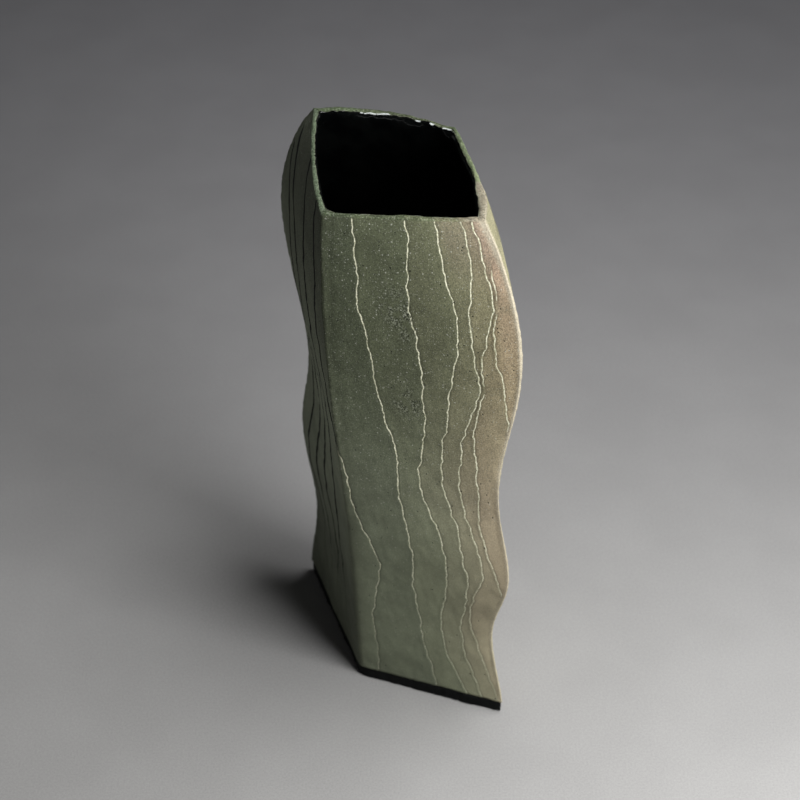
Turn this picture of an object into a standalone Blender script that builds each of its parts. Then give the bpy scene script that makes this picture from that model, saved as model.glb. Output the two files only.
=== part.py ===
"""Slab-built stoneware vase: a tall, wavy, rhomboid vessel, open at the top.

Two clay slabs, each folded once along an upright fold, meet at two upright seams and stand on
a flat base slab.  Coils of clay back the seams and the floor joint, and a thin glaze lines the
inside.  Metres, +Z up.  The origin is the centre of the underside, on the table.  Seen from
above, the corners run counter-clockwise: front left fold, front right seam, back right fold,
back left seam.
"""
import math

import bmesh
import bpy
from mathutils import Vector

# Driving dimensions
HEIGHT = 0.325
BASE_THICKNESS = 0.0078
WALL = 0.0045
LIP = 0.0030
LIP_TAPER = 0.020
GLAZE = 0.0006
GAP = 0.0003

# Outside corners of the plan, at the table and at the rim
FOLD_LEFT, SEAM_RIGHT, FOLD_RIGHT, SEAM_LEFT = range(4)
TABLE_CORNERS = [(-0.0250, -0.0310), (0.0565, -0.0605), (0.0250, 0.0310), (-0.0565, 0.0605)]
RIM_CORNERS = [(-0.0395, -0.0430), (0.0375, -0.0475), (0.0265, 0.0365), (-0.0455, 0.0570)]

# How far each corner swings out from its straight line, at the heights where it turns back
FOLD_LEFT_TURNS = [(0.0, 0.0), (0.070, -0.0010), (0.250, 0.0058), (HEIGHT, 0.0)]
FOLD_RIGHT_TURNS = [(0.0, 0.0), (0.070, -0.0010), (0.250, 0.0045), (HEIGHT, 0.0)]
SEAM_RIGHT_TURNS = [
    (0.0, 0.0), (0.052, -0.0065), (0.108, 0.0085), (0.154, 0.0030), (0.258, 0.0235), (HEIGHT, 0.0)
]
SEAM_LEFT_TURNS = [
    (0.0, 0.0), (0.052, -0.0045), (0.117, 0.0090), (0.160, 0.0040), (0.258, 0.0275), (HEIGHT, 0.0)
]
CORNER_TURNS = [FOLD_LEFT_TURNS, SEAM_RIGHT_TURNS, FOLD_RIGHT_TURNS, SEAM_LEFT_TURNS]

# Below 1, the last wave keeps its width for longer and then draws in quickly under the rim
SHOULDER_POWER = 0.8

# How far the front, right, back and left panels bulge at the rim, and how much each bulge leans
# towards the first of the panel's two corners
RIM_BULGE = [0.0017, 0.0036, 0.0060, 0.0033]
BULGE_LEAN = [0.0, 0.9, 0.0, 0.0]

# Distance from a corner, along both of its sides, where its rounding begins
FOLD_CUT_OUTSIDE = 0.0036
FOLD_CUT_INSIDE = 0.0050
LINING_CUT = 0.0110
COIL_REACH = 0.0090
COIL_FOOT = 0.0056

# Rounding of the lip's two edges, and the rows that carry it as shares of its radius
LIP_ROUND = 0.0011
LIP_ROWS = [1.0, 0.3, 0.0]

# The hidden clay and the base: coil sizes, where the floor coil's hollow face dips, and the clear
# room left between the floor coil and the pieces over it
FLOOR_COIL = 0.0055
COIL_DIP = 0.35
SEAM_COIL_TOP = 0.295
LINING_CLEARANCE = 4 * GAP
COIL_CLEARANCE = 8 * GAP
BASE_BEVEL = 0.0010

# Resolution: rows up the wall, points along each side of a path, and steps around its corners
WALL_ROWS = 34
WALL_POINTS = 8
COIL_POINTS = 7
CLOSED_POINTS = 5
FOLD_STEPS = 5
CLOSED_STEPS = 4

# Faces within the first angle of each other are merged, edges sharper than the second stay crisp,
# and base edges sharper than the third are softened
FLAT_ANGLE = math.radians(1)
CRISP_ANGLE = math.radians(35)
SOFTEN_ANGLE = math.radians(60)

COLLECTION = "stoneware_pottery_vase"


def clear_scene():
    for item in list(bpy.data.objects):
        bpy.data.objects.remove(item, do_unlink=True)


def clay_material(name, colour, roughness, metallic=0.0):
    material = bpy.data.materials.new(name)
    material.use_nodes = True
    shader = material.node_tree.nodes["Principled BSDF"]
    shader.inputs["Base Color"].default_value = (*colour, 1.0)
    shader.inputs["Roughness"].default_value = roughness
    shader.inputs["Metallic"].default_value = metallic
    return material


def swing(turns, height):
    """Smooth half waves between turning points; the last is a quarter wave that stays full."""
    for (low, start), (high, end) in zip(turns, turns[1:]):
        if height <= high:
            share = (height - low) / (high - low)
            if high == HEIGHT:
                return end + (start - end) * max(0.0, math.cos(share * math.pi / 2)) ** SHOULDER_POWER
            return start + (end - start) * (1 - math.cos(share * math.pi)) / 2
    return turns[-1][1]


def outside_corners(height):
    """The four outside corners of the plan at a height."""
    share = height / HEIGHT
    corners = []
    for index, turns in enumerate(CORNER_TURNS):
        table = Vector(TABLE_CORNERS[index])
        rim = Vector(RIM_CORNERS[index])
        outward = (table - Vector(TABLE_CORNERS[index - 2])).normalized()
        corners.append(table.lerp(rim, share) + outward * swing(turns, height))
    return corners


def inset(corners, distance):
    """Corners of the plan after every side moves inward by a distance."""
    moved = []
    for index, corner in enumerate(corners):
        before = corners[index - 1]
        after = corners[(index + 1) % 4]
        arriving = (corner - before).normalized()
        leaving = (after - corner).normalized()
        moved.append(corner + (leaving - arriving) * (distance / cross(arriving, leaving)))
    return moved


def side_point(corners, height, side, share):
    """A point on a bulging side: 0 is its first corner and 1 is its last."""
    start = corners[side % 4]
    end = corners[(side + 1) % 4]
    along = end - start
    outward = Vector((along.y, -along.x)).normalized()
    bulge = RIM_BULGE[side % 4] * (height / HEIGHT) ** 2
    bulge *= 1 + BULGE_LEAN[side % 4] * (1 - 2 * share)
    return start + along * share + outward * (bulge * 4 * share * (1 - share))


def side_run(corners, height, side, first_cut, last_cut, count):
    """Evenly spaced points along a side, between the cuts at its two corners."""
    length = (corners[(side + 1) % 4] - corners[side % 4]).length
    first = first_cut / length
    last = 1 - last_cut / length
    shares = [first + (last - first) * step / (count - 1) for step in range(count)]
    return [side_point(corners, height, side, share) for share in shares]


def curve_between(start, control, end, shares):
    """Points on the parabola that leaves start for the control point and arrives at end."""
    return [start.lerp(control, share).lerp(control.lerp(end, share), share) for share in shares]


def corner_arc(before, after, steps):
    """Points that round a corner between the run before it and the run after it."""
    control = meeting_point(before[-1], before[-1] - before[-2], after[0], after[0] - after[1])
    return curve_between(before[-1], control, after[0], [step / steps for step in range(1, steps)])


def meeting_point(start, ahead, end, back):
    """Where a line from start and a line from end cross, given their directions."""
    offset = end - start
    return start + ahead * (cross(offset, back) / cross(ahead, back))


def cross(first, second):
    return first.x * second.y - first.y * second.x


def folded_path(corners, height, seam, fold_cut):
    """One face of a folded slab, from the seam corner, around its fold, to the other seam."""
    runs = []
    for side in (seam, seam + 1):
        seam_corner = seam if side == seam else seam + 2
        seam_cut = GAP / 2 / math.sin(half_angle(corners, seam_corner))
        cuts = (seam_cut, fold_cut) if side == seam else (fold_cut, seam_cut)
        runs.append(side_run(corners, height, side, *cuts, WALL_POINTS))
    return runs[0] + corner_arc(runs[0], runs[1], FOLD_STEPS) + runs[1]


def half_angle(corners, index):
    """Half of the angle between the two sides that meet at a corner."""
    corner = corners[index % 4]
    backward = corners[(index - 1) % 4] - corner
    forward = corners[(index + 1) % 4] - corner
    return backward.angle(forward) / 2


def closed_path(corners, height, cuts):
    """A closed outline with every corner rounded, where a corner's cut says how much."""
    runs = []
    for side in range(4):
        runs.append(side_run(corners, height, side, cuts[side], cuts[(side + 1) % 4], CLOSED_POINTS))
    path = []
    for side in range(4):
        path += runs[side] + corner_arc(runs[side], runs[(side + 1) % 4], CLOSED_STEPS)
    return path


def wall_thickness(height):
    """The wall's full thickness, thinner over the last stretch below the rim."""
    share = min(1.0, (HEIGHT - height) / LIP_TAPER)
    return LIP + (WALL - LIP) * share * share * (3 - 2 * share)


def lip_draw(height):
    """How far each face of the wall draws in where the lip is rounded."""
    below = max(0.0, LIP_ROUND - (HEIGHT - height))
    return LIP_ROUND - math.sqrt(LIP_ROUND ** 2 - below ** 2)


def rows(low, high):
    """Heights of the loft's rows between two heights; every lofted piece shares them."""
    start = BASE_THICKNESS + GAP
    shared = [start + (HEIGHT - start) * step / WALL_ROWS for step in range(WALL_ROWS)]
    shared += [HEIGHT - LIP_ROUND * share for share in LIP_ROWS]
    return [low] + [height for height in shared if low < height < high] + [high]


def add_object(name, mesh_source, material):
    """Make a named object from a bmesh, with its faces pointing out and its own material."""
    bmesh.ops.recalc_face_normals(mesh_source, faces=mesh_source.faces)
    mesh = bpy.data.meshes.new(name)
    mesh_source.to_mesh(mesh)
    mesh_source.free()
    mesh.shade_smooth()
    mesh.set_sharp_from_angle(angle=CRISP_ANGLE)
    mesh.materials.append(material)
    item = bpy.data.objects.new(name, mesh)
    bpy.data.collections[COLLECTION].objects.link(item)
    return item


def ring_vertices(mesh, path, height):
    return [mesh.verts.new((point.x, point.y, height)) for point in path]


def join_rings(mesh, lower, upper):
    """Quads between two rings with the same number of points."""
    for index in range(len(lower)):
        following = (index + 1) % len(lower)
        mesh.faces.new((lower[index], lower[following], upper[following], upper[index]))


def cap_wall(mesh, ring):
    """Quads across a wall's end, whose ring goes out along one face and back along the other."""
    last = len(ring) - 1
    for index in range(len(ring) // 2 - 1):
        mesh.faces.new((ring[index], ring[index + 1], ring[last - index - 1], ring[last - index]))


def folded_slab(name, seam, material):
    """A slab that starts at a seam corner, folds at the next corner and ends at the other seam."""
    mesh = bmesh.new()
    rings = []
    for height in rows(BASE_THICKNESS + GAP, HEIGHT):
        draw = lip_draw(height)
        corners = outside_corners(height)
        outer = folded_path(inset(corners, draw), height, seam, FOLD_CUT_OUTSIDE)
        inner = folded_path(inset(corners, wall_thickness(height) - draw), height, seam, FOLD_CUT_INSIDE)
        rings.append(ring_vertices(mesh, outer + inner[::-1], height))
    for lower, upper in zip(rings, rings[1:]):
        join_rings(mesh, lower, upper)
    cap_wall(mesh, rings[0])
    cap_wall(mesh, rings[-1])
    return add_object(name, mesh, material)


def base_slab(material):
    """The flat slab underfoot, cut to the plan of the walls, with softened edges."""
    corners = outside_corners(0.0)
    cuts = [FOLD_CUT_OUTSIDE, BASE_BEVEL * 2, FOLD_CUT_OUTSIDE, BASE_BEVEL * 2]
    outline = closed_path(corners, 0.0, cuts)
    curve = bpy.data.curves.new("base_outline", "CURVE")
    curve.dimensions = "2D"
    curve.fill_mode = "BOTH"
    curve.extrude = BASE_THICKNESS / 2
    spline = curve.splines.new("POLY")
    spline.points.add(len(outline) - 1)
    for point, place in zip(spline.points, outline):
        point.co = (place.x, place.y, 0.0, 1.0)
    spline.use_cyclic_u = True
    guide = bpy.data.objects.new("base_outline", curve)
    bpy.data.collections[COLLECTION].objects.link(guide)
    evaluated = guide.evaluated_get(bpy.context.evaluated_depsgraph_get())
    flat = bpy.data.meshes.new_from_object(evaluated)
    bpy.data.objects.remove(guide, do_unlink=True)
    mesh = bmesh.new()
    mesh.from_mesh(flat)
    bmesh.ops.remove_doubles(mesh, verts=mesh.verts, dist=GAP / 10)
    bmesh.ops.dissolve_limit(mesh, angle_limit=FLAT_ANGLE, verts=mesh.verts, edges=mesh.edges)
    item = add_object("base_slab", mesh, material)
    item.location.z = BASE_THICKNESS / 2
    bevel = item.modifiers.new("softened_edges", "BEVEL")
    bevel.width = BASE_BEVEL
    bevel.segments = 2
    bevel.limit_method = "ANGLE"
    bevel.angle_limit = SOFTEN_ANGLE
    return item


def lining_seam_cut(height):
    """The lining rounds off the seam corners over the coils, and fills them above."""
    above = max(0.0, height - SEAM_COIL_TOP - FOLD_CUT_INSIDE)
    return LINING_CUT - (LINING_CUT - LIP_ROUND) * above / (HEIGHT - SEAM_COIL_TOP - FOLD_CUT_INSIDE)


def glaze_lining(material):
    """The glaze inside: an open bag that clears the coils and stops just under the rim."""
    low = BASE_THICKNESS + GAP
    floor_cut = FLOOR_COIL + LINING_CLEARANCE
    top = HEIGHT - LIP_ROUND
    mesh = bmesh.new()

    def bag_ring(height, depth):
        corners = inset(outside_corners(height), wall_thickness(height) + GAP + depth)
        seam_cut = lining_seam_cut(height)
        cuts = [FOLD_CUT_INSIDE, seam_cut, FOLD_CUT_INSIDE, seam_cut]
        return ring_vertices(mesh, closed_path(corners, height, cuts), height)

    outer = [bag_ring(low, floor_cut)]
    outer += [bag_ring(height, 0.0) for height in rows(low + floor_cut, top)]
    inner = [bag_ring(height, GLAZE) for height in rows(low + floor_cut, top)]
    inner[0:0] = [bag_ring(low + GLAZE, floor_cut)]
    rings = outer + inner[::-1]
    for lower, upper in zip(rings, rings[1:]):
        join_rings(mesh, lower, upper)
    mesh.faces.new(rings[0])
    mesh.faces.new(rings[-1])
    return add_object("glaze_lining", mesh, material)


def seam_coil(name, seam, material):
    """A coil pressed into the sharp corner behind a seam, smoothed to a hollow face."""
    mesh = bmesh.new()
    rings = []
    for height in rows(BASE_THICKNESS + FLOOR_COIL + COIL_CLEARANCE, SEAM_COIL_TOP):
        corners = inset(outside_corners(height), wall_thickness(height) + GAP)
        before = side_run(corners, height, seam - 1, COIL_REACH, COIL_REACH, COIL_POINTS)
        after = side_run(corners, height, seam, COIL_REACH, COIL_REACH, COIL_POINTS)
        foot_before = side_run(corners, height, seam - 1, COIL_FOOT, COIL_FOOT, 2)[-1]
        foot_after = side_run(corners, height, seam, COIL_FOOT, COIL_FOOT, 2)[0]
        hollow = corner_arc(before, after, FOLD_STEPS)
        outline = [corners[seam], foot_after] + hollow[::-1] + [foot_before]
        rings.append(ring_vertices(mesh, outline, height))
    for lower, upper in zip(rings, rings[1:]):
        join_rings(mesh, lower, upper)
    mesh.faces.new(rings[0])
    mesh.faces.new(rings[-1])
    return add_object(name, mesh, material)


def floor_coil(material):
    """A coil smoothed into the corner between floor and walls, all the way round."""
    low = BASE_THICKNESS + GAP
    cuts = [FOLD_CUT_INSIDE, LINING_CLEARANCE, FOLD_CUT_INSIDE, LINING_CLEARANCE]
    dip = FLOOR_COIL * COIL_DIP
    foot = [(0.0, 0.0), (FLOOR_COIL, 0.0), (FLOOR_COIL, GAP)]
    hollow = [(dip, dip), (GAP, FLOOR_COIL), (0.0, FLOOR_COIL)]
    mesh = bmesh.new()
    rings = []
    for depth, rise in foot + hollow:
        height = low + rise
        corners = inset(outside_corners(height), wall_thickness(height) + GAP + depth)
        rings.append(ring_vertices(mesh, closed_path(corners, height, cuts), height))
    for lower, upper in zip(rings, rings[1:] + rings[:1]):
        join_rings(mesh, lower, upper)
    return add_object("floor_coil", mesh, material)


def build():
    clear_scene()
    collection = bpy.data.collections.new(COLLECTION)
    bpy.context.scene.collection.children.link(collection)
    slip_front = clay_material("matte_slip_front", (0.085, 0.091, 0.060), 0.85)
    slip_back = clay_material("matte_slip_back", (0.105, 0.100, 0.070), 0.85)
    dark_clay = clay_material("dark_base_clay", (0.012, 0.013, 0.013), 0.75)
    bare_clay = clay_material("bare_stoneware", (0.200, 0.160, 0.110), 0.90)
    floor_clay = clay_material("bare_stoneware_floor", (0.190, 0.150, 0.105), 0.90)
    left_clay = clay_material("bare_stoneware_left", (0.195, 0.155, 0.108), 0.90)
    black_glaze = clay_material("black_glaze", (0.003, 0.003, 0.004), 0.12)
    base_slab(dark_clay)
    folded_slab("front_slab", SEAM_LEFT, slip_front)
    folded_slab("back_slab", SEAM_RIGHT, slip_back)
    seam_coil("seam_coil_right", SEAM_RIGHT, bare_clay)
    seam_coil("seam_coil_left", SEAM_LEFT, left_clay)
    floor_coil(floor_clay)
    glaze_lining(black_glaze)


build()
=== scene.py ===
import math

import bpy
import numpy as np
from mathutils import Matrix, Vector
from mathutils.geometry import convex_hull_2d


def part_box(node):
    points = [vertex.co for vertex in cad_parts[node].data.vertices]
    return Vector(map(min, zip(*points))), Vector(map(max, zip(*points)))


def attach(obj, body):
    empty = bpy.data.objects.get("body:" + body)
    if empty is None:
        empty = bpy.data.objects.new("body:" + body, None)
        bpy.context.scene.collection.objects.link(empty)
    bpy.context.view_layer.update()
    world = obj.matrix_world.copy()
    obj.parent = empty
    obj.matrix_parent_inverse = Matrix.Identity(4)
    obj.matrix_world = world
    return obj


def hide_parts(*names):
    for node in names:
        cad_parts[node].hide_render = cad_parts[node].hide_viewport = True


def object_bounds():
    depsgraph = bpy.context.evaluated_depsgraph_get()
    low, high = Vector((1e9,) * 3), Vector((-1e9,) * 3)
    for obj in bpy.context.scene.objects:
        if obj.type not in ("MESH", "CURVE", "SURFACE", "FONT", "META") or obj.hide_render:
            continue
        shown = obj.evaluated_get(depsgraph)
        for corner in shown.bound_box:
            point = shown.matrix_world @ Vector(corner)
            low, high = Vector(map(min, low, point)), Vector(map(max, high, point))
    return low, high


# The visible skins of a slab-built stoneware vase, made around the frame's own walls
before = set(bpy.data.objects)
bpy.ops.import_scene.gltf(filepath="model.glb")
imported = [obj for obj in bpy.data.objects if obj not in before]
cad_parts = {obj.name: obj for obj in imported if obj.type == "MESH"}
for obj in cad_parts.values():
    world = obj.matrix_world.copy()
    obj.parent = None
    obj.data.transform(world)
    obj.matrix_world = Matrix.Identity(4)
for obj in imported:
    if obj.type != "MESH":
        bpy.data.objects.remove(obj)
cad_low, cad_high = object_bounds()

MM = 0.001
HEIGHT = cad_high[2]
FLOOR_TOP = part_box("base_slab")[1][2]
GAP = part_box("front_slab")[0][2] - FLOOR_TOP
SLABS = ("front_slab", "back_slab")
LAST_FULL_ROW = HEIGHT - 1.0 * MM
SEED = 41


def one_long(vectors):
    """Vectors with the length of each made one."""
    return vectors / np.linalg.norm(vectors, axis=-1, keepdims=True)


def at_height(ring, height):
    """A flat ring of points, lifted to a height."""
    return np.column_stack([ring, np.full(len(ring), height)])


def ramp_up(values, start, length):
    """Zero up to a start, and then up to one over a length."""
    return np.clip((values - start) / length, 0, 1)


def bell(values, middle, reach, power=2):
    """One at a middle, falling away smoothly over a reach on either side."""
    return np.exp(-((values - middle) / reach) ** power)


def picked(table, index):
    """From each row of a table, the entries that a row of indices asks for."""
    return np.take_along_axis(table, index, axis=1)


def new_object(name, data):
    """An object made from its data and added to the scene."""
    item = bpy.data.objects.new(name, data)
    bpy.context.scene.collection.objects.link(item)
    return item


# Reading the walls from the frame: every CAD row is one height, with an outer and an inner path

def rows_of(node):
    """The unique points of a CAD node, as {height: array of x, y}."""
    points = np.array([vertex.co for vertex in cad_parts[node].data.vertices])
    points = np.unique(np.round(points, 5), axis=0)
    heights = np.round(points[:, 2], 4)
    return {height: points[heights == height][:, :2] for height in np.unique(heights)}


def depth_inside(points, ring):
    """How far each point lies inside the convex hull of a ring of points."""
    order = convex_hull_2d([Vector(point) for point in ring])
    hull = ring[order]
    along = one_long(np.roll(hull, -1, axis=0) - hull)
    normal = np.stack([-along[:, 1], along[:, 0]], axis=1)
    distance = ((points[:, None] - hull[None]) * normal[None]).sum(-1)
    turn = np.sign(distance.mean())
    return (distance * turn).min(axis=1)


def around(points, start):
    """Points sorted counter-clockwise about the axis, from a starting angle."""
    angle = (np.arctan2(points[:, 1], points[:, 0]) - start) % (2 * math.pi)
    return points[np.argsort(angle)]


def wall_paths(skin_depth):
    """Heights, and for each slab its outer and inner paths, as arrays of rows by points by 2."""
    found = {slab: rows_of(slab) for slab in SLABS}
    heights = sorted(height for height in found[SLABS[0]] if height < LAST_FULL_ROW)
    paths = {slab: {"outer": [], "inner": []} for slab in SLABS}
    for height in heights:
        ring = np.concatenate([found[slab][height] for slab in SLABS])
        for slab, start in zip(SLABS, (math.radians(90), math.radians(270))):
            points = found[slab][height]
            inside = depth_inside(points, ring) > skin_depth
            paths[slab]["outer"].append(around(points[~inside], start))
            paths[slab]["inner"].append(around(points[inside], start))
    for faces in paths.values():
        faces.update({face: np.array(rows) for face, rows in faces.items()})
    return np.array(heights), paths


def lining_paths(skin_depth):
    """The same for the glaze lining's inner face, as one closed path on each row."""
    found = rows_of("glaze_lining")
    fullest = max(len(points) for points in found.values())
    heights = sorted(height for height in found if len(found[height]) == fullest)
    inner = []
    for height in heights:
        points = found[height]
        inside = depth_inside(points, points) > skin_depth
        inner.append(around(points[inside], math.radians(90)))
    return np.array(heights), np.array(inner)


def spline(knots, values, places):
    """A natural cubic spline through values at knots, read at places; it runs on straight outside."""
    knots = np.asarray(knots, float)
    values = np.asarray(values, float)
    places = np.asarray(places, float)
    shape = values.shape[1:]
    flat = values.reshape(len(knots), -1)
    step = np.diff(knots)
    slope = np.diff(flat, axis=0) / step[:, None]
    system = np.zeros((len(knots), len(knots)))
    right = np.zeros_like(flat)
    system[0, 0] = system[-1, -1] = 1.0
    for index in range(1, len(knots) - 1):
        system[index, index - 1] = step[index - 1]
        system[index, index] = 2 * (step[index - 1] + step[index])
        system[index, index + 1] = step[index]
        right[index] = 6 * (slope[index] - slope[index - 1])
    bend = np.linalg.solve(system, right)
    held = np.clip(places, knots[0], knots[-1])
    cell = np.clip(np.searchsorted(knots, held) - 1, 0, len(knots) - 2)
    width = step[cell][:, None]
    low = (knots[cell + 1] - held)[:, None]
    high = (held - knots[cell])[:, None]
    result = bend[cell] * low ** 3 / (6 * width) + bend[cell + 1] * high ** 3 / (6 * width)
    result += (flat[cell] / width - bend[cell] * width / 6) * low
    result += (flat[cell + 1] / width - bend[cell + 1] * width / 6) * high
    end_slopes = (slope[0] - bend[1] * step[0] / 6, slope[-1] + bend[-2] * step[-1] / 6)
    result += np.minimum(places - knots[0], 0)[:, None] * end_slopes[0]
    result += np.maximum(places - knots[-1], 0)[:, None] * end_slopes[1]
    return result.reshape((len(places),) + shape)


def hermite(knots, values, places):
    """A smooth local curve through values at knots, for paths with tight corners."""
    slope = np.diff(values, axis=0) / np.diff(knots)[:, None]
    weight = (np.diff(knots)[:-1] / (knots[2:] - knots[:-2]))[:, None]
    tangent = np.concatenate([slope[:1], slope[:-1] * (1 - weight) + slope[1:] * weight, slope[-1:]])
    cell = np.clip(np.searchsorted(knots, places) - 1, 0, len(knots) - 2)
    width = (knots[cell + 1] - knots[cell])[:, None]
    t = ((places - knots[cell])[:, None]) / width
    start = (1 + 2 * t) * (1 - t) ** 2
    leave = t * (1 - t) ** 2
    arrive = t * t * (t - 1)
    end = t * t * (3 - 2 * t)
    ends = start * values[cell] + end * values[cell + 1]
    return ends + width * (leave * tangent[cell] + arrive * tangent[cell + 1])


def run_along(path):
    """The distance along a path to each of its points."""
    return np.concatenate([[0.0], np.cumsum(np.linalg.norm(np.diff(path, axis=0), axis=1))])


def run_and_fold(path):
    """The distance along a folded path to each of its points, and to the middle of its fold."""
    run = run_along(path)
    half = len(path) // 2
    return run, (run[half - 1] + run[half]) / 2


def path_places(path):
    """Where each point of a folded path lies: 0 at its first seam, 1 at the fold, 2 at its last seam."""
    run, fold = run_and_fold(path)
    return np.where(run <= fold, run / fold, 1 + (run - fold) / (run[-1] - fold))


def wall_surface(paths, heights, rows, places):
    """Points of a wall's face at given heights and at places across it (rows by columns)."""
    dense = spline(heights, paths, rows)
    surface = np.zeros(places.shape + (3,))
    for index, path in enumerate(dense):
        surface[index, :, :2] = hermite(path_places(path), path, places[index])
        surface[index, :, 2] = rows[index]
    return surface


# A point deeper than this inside its ring belongs to the inner face
WALL_SKIN = 2.0 * MM
LINING_SKIN = 0.3 * MM
wall_heights, walls = wall_paths(WALL_SKIN)
lining_heights, lining = lining_paths(LINING_SKIN)

# The incised lines follow rules.  Place 0 is a slab's first seam, 1 its fold and 2 its last seam.
# Across the front they crowd towards the last seam, lean past their neighbour's start and bow.
LINE_FOOT = 8 * MM
POINT_STEP = 12 * MM
KINK = 0.008
LINE_TAPER = 9 * MM
SETTLE = 35 * MM
RIM_FIRST = 1.16
RIM_GAP = 0.33
RIM_CROWDING = 0.65
LEAN_PAST = 0.04
BOW = 0.15
BOW_EASE = 0.45
FOLD_LINE = 4

# The skin's columns follow the lines, with a few close together at each line
COLUMN_STEP = 1.5 * MM
ROW_STEP = 1.15 * MM
INNER_STRIDE = 4
LINE_OFFSETS = np.array([-0.9, -0.45, 0.0, 0.45, 0.9]) * MM
LINE_SPACE = 2.2 * MM
HIDDEN_SPACE = 0.25 * MM
ROOM_ROWS = 4

# Relief, lip and folds
LEDGE = 0.26 * MM
GROOVE = 0.22 * MM
CLOSING = 0.29 * MM
SEAM_RIDGE = 0.25 * MM
LIP_RADIUS = 1.2 * MM
LIP_STEPS = 9
BACK_CRISP = (HEIGHT - 30 * MM, HEIGHT - 12 * MM)
FRONT_CRISP = (90 * MM, 200 * MM)
OUTER_FOLD = 4.5 * MM
INNER_FOLD = 6.5 * MM
FOLD_STRAIGHT = 4 * MM


def waver(places, seed, wavelengths, sizes):
    """A smooth seeded wobble along one direction, made of a few sine waves."""
    random = np.random.default_rng(seed)
    total = np.zeros_like(places, dtype=float)
    for wavelength, size in zip(wavelengths, sizes):
        for share in (1.0, 0.63, 1.57):
            phase = random.uniform(0, 2 * math.pi)
            total += size * np.sin(2 * math.pi * places / (wavelength * share) + phase) / 1.6
    return total


def ripple(points, wavelength, seed, waves=28):
    """Smooth seeded noise in space, with a spread of about one."""
    random = np.random.default_rng(seed)
    direction = one_long(random.normal(size=(waves, 3)))
    pace = 2 * math.pi / (wavelength * random.uniform(0.7, 1.5, waves))
    phase = random.uniform(0, 2 * math.pi, waves)
    total = np.zeros(points.shape[:-1])
    for index in range(waves):
        total += np.sin(points @ (direction[index] * pace[index]) + phase[index])
    return total / math.sqrt(waves / 2)


def drawn_line(rule, top, bottom, random):
    """Points down a line whose place follows a rule, with the sway and small kinks of a hand."""
    phases = random.uniform(0, 2 * math.pi, 2)
    long_wave = random.uniform(90, 170) * MM
    points = []
    for height in np.append(np.arange(top, bottom, -POINT_STEP), bottom):
        drop = top - height
        sway = 0.024 * math.sin(2 * math.pi * height / long_wave + phases[0])
        sway += 0.010 * math.sin(2 * math.pi * height / (63 * MM) + phases[1])
        place = rule(drop / (top - bottom), drop) + sway + random.uniform(-KINK, KINK)
        points.append((place, height))
    return points


def leaning(rim, foot, bow=0.0, swing=0.0):
    """A rule for a line that leans from its rim place to its foot place, bowing or swinging between."""
    def rule(share, drop):
        bowed = bow * max(0.0, math.sin(math.pi * share)) ** 0.7
        return rim + (foot - rim) * share + bowed + swing * math.sin(2 * math.pi * share)
    return rule


def settling(start, place):
    """A rule for a line that curves away from its start and settles at a place."""
    def rule(share, drop):
        return place + (start - place) * math.exp(-drop / SETTLE)
    return rule


def front_lines():
    """The front slab's lines, from the three that leave its first seam to the bow at its last one."""
    random = np.random.default_rng(SEED + 5)
    lines = []
    for number, top in enumerate((0.65 * HEIGHT, 0.94 * HEIGHT, 0.98 * HEIGHT)):
        lines.append(drawn_line(settling(0.0, 0.20 + 0.175 * number), top, LINE_FOOT, random))
    lines.append(drawn_line(settling(0.50, 0.725), HEIGHT, LINE_FOOT, random))
    lines.append(drawn_line(leaning(0.90, 1.12, swing=-0.09), HEIGHT, LINE_FOOT, random))
    rims = [RIM_FIRST + RIM_GAP * (1 - RIM_CROWDING ** step) / (1 - RIM_CROWDING) for step in range(5)]
    for step, (rim, foot) in enumerate(zip(rims, rims[1:] + [1.95])):
        bottom = 0.28 * HEIGHT if step == 4 else LINE_FOOT
        bow = -BOW * (1 - BOW_EASE ** step)
        lines.append(drawn_line(leaning(rim, foot + LEAN_PAST, bow), HEIGHT, bottom, random))
    lines.append(drawn_line(leaning(1.99, 1.99, -0.12), 0.955 * HEIGHT, 0.64 * HEIGHT, random))
    return lines


def back_lines():
    """The back slab's lines: one curls in from the rim beside the first seam, the rest are evenly spread."""
    random = np.random.default_rng(SEED + 7)

    def curl(share, drop):
        return 0.11 + 0.19 * math.exp(-drop / (12 * MM))

    lines = [drawn_line(curl, HEIGHT, LINE_FOOT, random)]
    for number in range(10):
        rim = 0.32 + 0.172 * number
        lines.append(drawn_line(leaning(rim, rim + random.uniform(-0.05, 0.05)), HEIGHT, LINE_FOOT, random))
    return lines


def line_paths(slab, lines, rows, units):
    """Where each line runs on each row (rows by lines), and how strongly it shows there."""
    paths = []
    shows = []
    for number, line in enumerate(lines):
        points = np.array(line)[::-1]
        place = np.interp(rows, points[:, 1], points[:, 0])
        wobble = waver(rows, SEED + number, (17 * MM, 7 * MM, 3.6 * MM), (0.34 * MM, 0.17 * MM, 0.07 * MM))
        unit = np.where(place < 1, units[:, 0], units[:, 1])
        paths.append(place + wobble / unit)
        inside = (rows >= points[0, 1] - ROW_STEP) & (rows <= points[-1, 1] + ROW_STEP)
        faded = np.ones_like(rows)
        if points[-1, 1] < HEIGHT - ROW_STEP:
            faded = np.clip((points[-1, 1] - rows) / LINE_TAPER, 0, 1)
        if slab == "front_slab" and place.mean() < 1:
            faded = faded * np.interp(rows, (20 * MM, 115 * MM), (0.35, 1.0))
        shows.append(inside * faded)
    return np.array(paths).T, np.array(shows).T


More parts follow.
